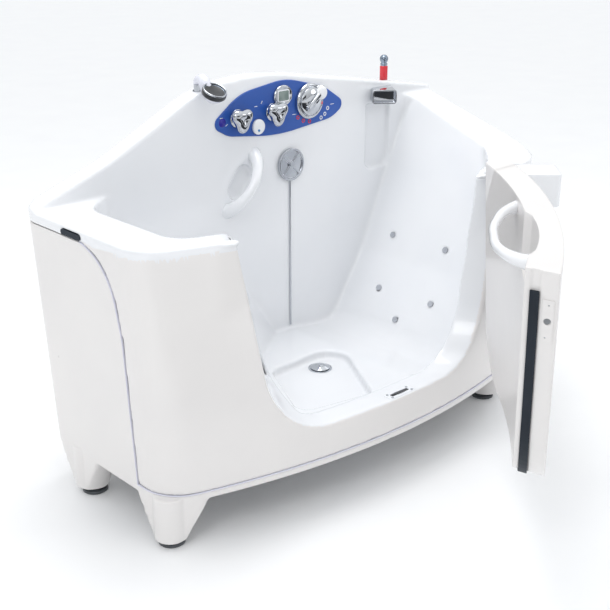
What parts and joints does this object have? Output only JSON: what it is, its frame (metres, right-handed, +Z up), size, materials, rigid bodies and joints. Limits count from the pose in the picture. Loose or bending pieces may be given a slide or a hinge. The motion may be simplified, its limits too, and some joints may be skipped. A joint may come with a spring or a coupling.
{
  "type": "walk-in bathtub with side door",
  "caption": "Walk-in bath with a bowed front, tapered U doorway and outward-swinging plug door, raised and reclining seats, wall controls, spout, hand shower, overflow and jets.",
  "frame": {"origin": "on the floor under the levelling foot at the front of the foot end", "axes": "+X runs along the bath to the head end, +Y to the splash wall at the back, +Z up"},
  "size_m": [1.6206, 1.4368, 1.1599],
  "materials": {
    "white_acrylic": "polished",
    "shell_acrylic": "satin",
    "lilac_trim": "satin",
    "navy_seal": "matt",
    "panel_blue": "polished",
    "chrome": "polished",
    "stainless": "brushed",
    "pad_rubber": "matt",
    "brass": "satin",
    "copper": "satin",
    "pipe_plastic": "matt",
    "pump_grey": "matt",
    "black_plastic": "matt",
    "red_plastic": "polished",
    "lens": "polished",
    "button_blue": "polished"
  },
  "bodies": {
    "bath": {"bath_moulding": "white_acrylic", "outer_shell": "shell_acrylic", "chassis_shell": "shell_acrylic", "seam_piping": "lilac_trim", "rim_slot_insert": "navy_seal", "support_frame": "stainless", "levelling_pads": "pad_rubber", "locknuts": "stainless", "control_panel": "panel_blue", "display_bezel": "chrome", "display_lens": "lens", "keypad": "white_acrylic", "mixer_valve": "brass", "supply_tails": "copper", "spout_feed": "copper", "spout": "chrome", "spout_mouth": "black_plastic", "shower_holder": "chrome", "vent_post": "chrome", "vent_cap": "red_plastic", "overflow_pipe": "pipe_plastic", "level_tube": "chrome", "drain_body": "chrome", "waste_trap": "pipe_plastic", "jets": "chrome", "jet_manifold": "pipe_plastic", "jet_pump": "pump_grey", "wall_grab_handle": "white_acrylic", "sill_plate": "chrome", "sill_screws": "stainless", "latch_keeper": "stainless", "hinge_brackets": "stainless", "hinge_pins": "chrome"},
    "door": {"door_skin": "shell_acrylic", "door_liner": "white_acrylic", "door_gasket": "navy_seal", "door_frame": "stainless", "door_grab_handle": "white_acrylic", "hinge_housing": "white_acrylic", "lower_hinge_arm": "stainless", "latch_faceplate": "stainless", "faceplate_screws": "stainless", "latch_case": "stainless"},
    "lever": {"latch_lever": "chrome"},
    "side_bolt": {"side_bolt": "stainless"},
    "bottom_bolt": {"bottom_bolt": "stainless"},
    "flow_knob": {"flow_knob": "chrome"},
    "divert_knob": {"divert_knob": "chrome"},
    "temperature_dial": {"temperature_dial": "chrome"},
    "safety_button": {"safety_button": "white_acrylic"},
    "keypad_button": {"keypad_button": "button_blue"},
    "overflow_disc": {"overflow_disc": "chrome"},
    "drain_plug": {"drain_plug": "chrome"},
    "hand_shower": {"hand_shower": "chrome", "shower_face": "black_plastic"}
  },
  "joints": [
    {"name": "door_hinge", "type": "hinge", "parent": "bath", "child": "door", "pos_m": [1.235, -0.17028, 0], "axis": [0, 0, 1], "range_deg": [-45, 45]},
    {"name": "lever_turn", "type": "hinge", "parent": "door", "child": "lever", "pos_m": [0.89184, -0.52716, 0.735], "axis": [0.7071, -0.7071, 0], "range_deg": [0, 60]},
    {"name": "side_bolt_slide", "type": "slide", "parent": "door", "child": "side_bolt", "axis": [-0.7985, -0.602, 0], "range_m": [0, 0.022]},
    {"name": "bottom_bolt_slide", "type": "slide", "parent": "door", "child": "bottom_bolt", "axis": [0, 0, -1], "range_m": [0, 0.022]},
    {"name": "flow_knob_turn", "type": "hinge", "parent": "bath", "child": "flow_knob", "pos_m": [0.638, 0.455, 1.01], "axis": [0, -1, 0], "range_deg": [0, 90]},
    {"name": "divert_knob_turn", "type": "hinge", "parent": "bath", "child": "divert_knob", "pos_m": [0.783, 0.455, 1.011], "axis": [0, -1, 0], "range_deg": [-90, 90]},
    {"name": "temperature_dial_turn", "type": "hinge", "parent": "bath", "child": "temperature_dial", "pos_m": [0.934, 0.455, 1.028], "axis": [0, -1, 0], "range_deg": [-120, 120]},
    {"name": "safety_button_press", "type": "slide", "parent": "temperature_dial", "child": "safety_button", "axis": [0, 1, 0], "range_m": [0, 0.004], "stiffness_N_per_m": 500},
    {"name": "keypad_button_press", "type": "slide", "parent": "bath", "child": "keypad_button", "axis": [0, 1, 0], "range_m": [0, 0.0015], "stiffness_N_per_m": 400},
    {"name": "overflow_disc_turn", "type": "hinge", "parent": "bath", "child": "overflow_disc", "pos_m": [0.856, 0.46, 0.831], "axis": [0, -1, 0], "range_deg": [0, 90]},
    {"name": "drain_plug_lift", "type": "slide", "parent": "bath", "child": "drain_plug", "axis": [0, 0, 1], "range_m": [0, 0.01]},
    {"name": "hand_shower_lift", "type": "slide", "parent": "bath", "child": "hand_shower", "axis": [0, 0, 1], "range_m": [0, 0.1]}
  ],
  "couplings": [
    {"joint": "side_bolt_slide", "follows": "lever_turn", "m_per_rad": 0.021},
    {"joint": "bottom_bolt_slide", "follows": "lever_turn", "m_per_rad": 0.021},
    {"joint": "drain_plug_lift", "follows": "overflow_disc_turn", "m_per_rad": 0.006366}
  ]
}
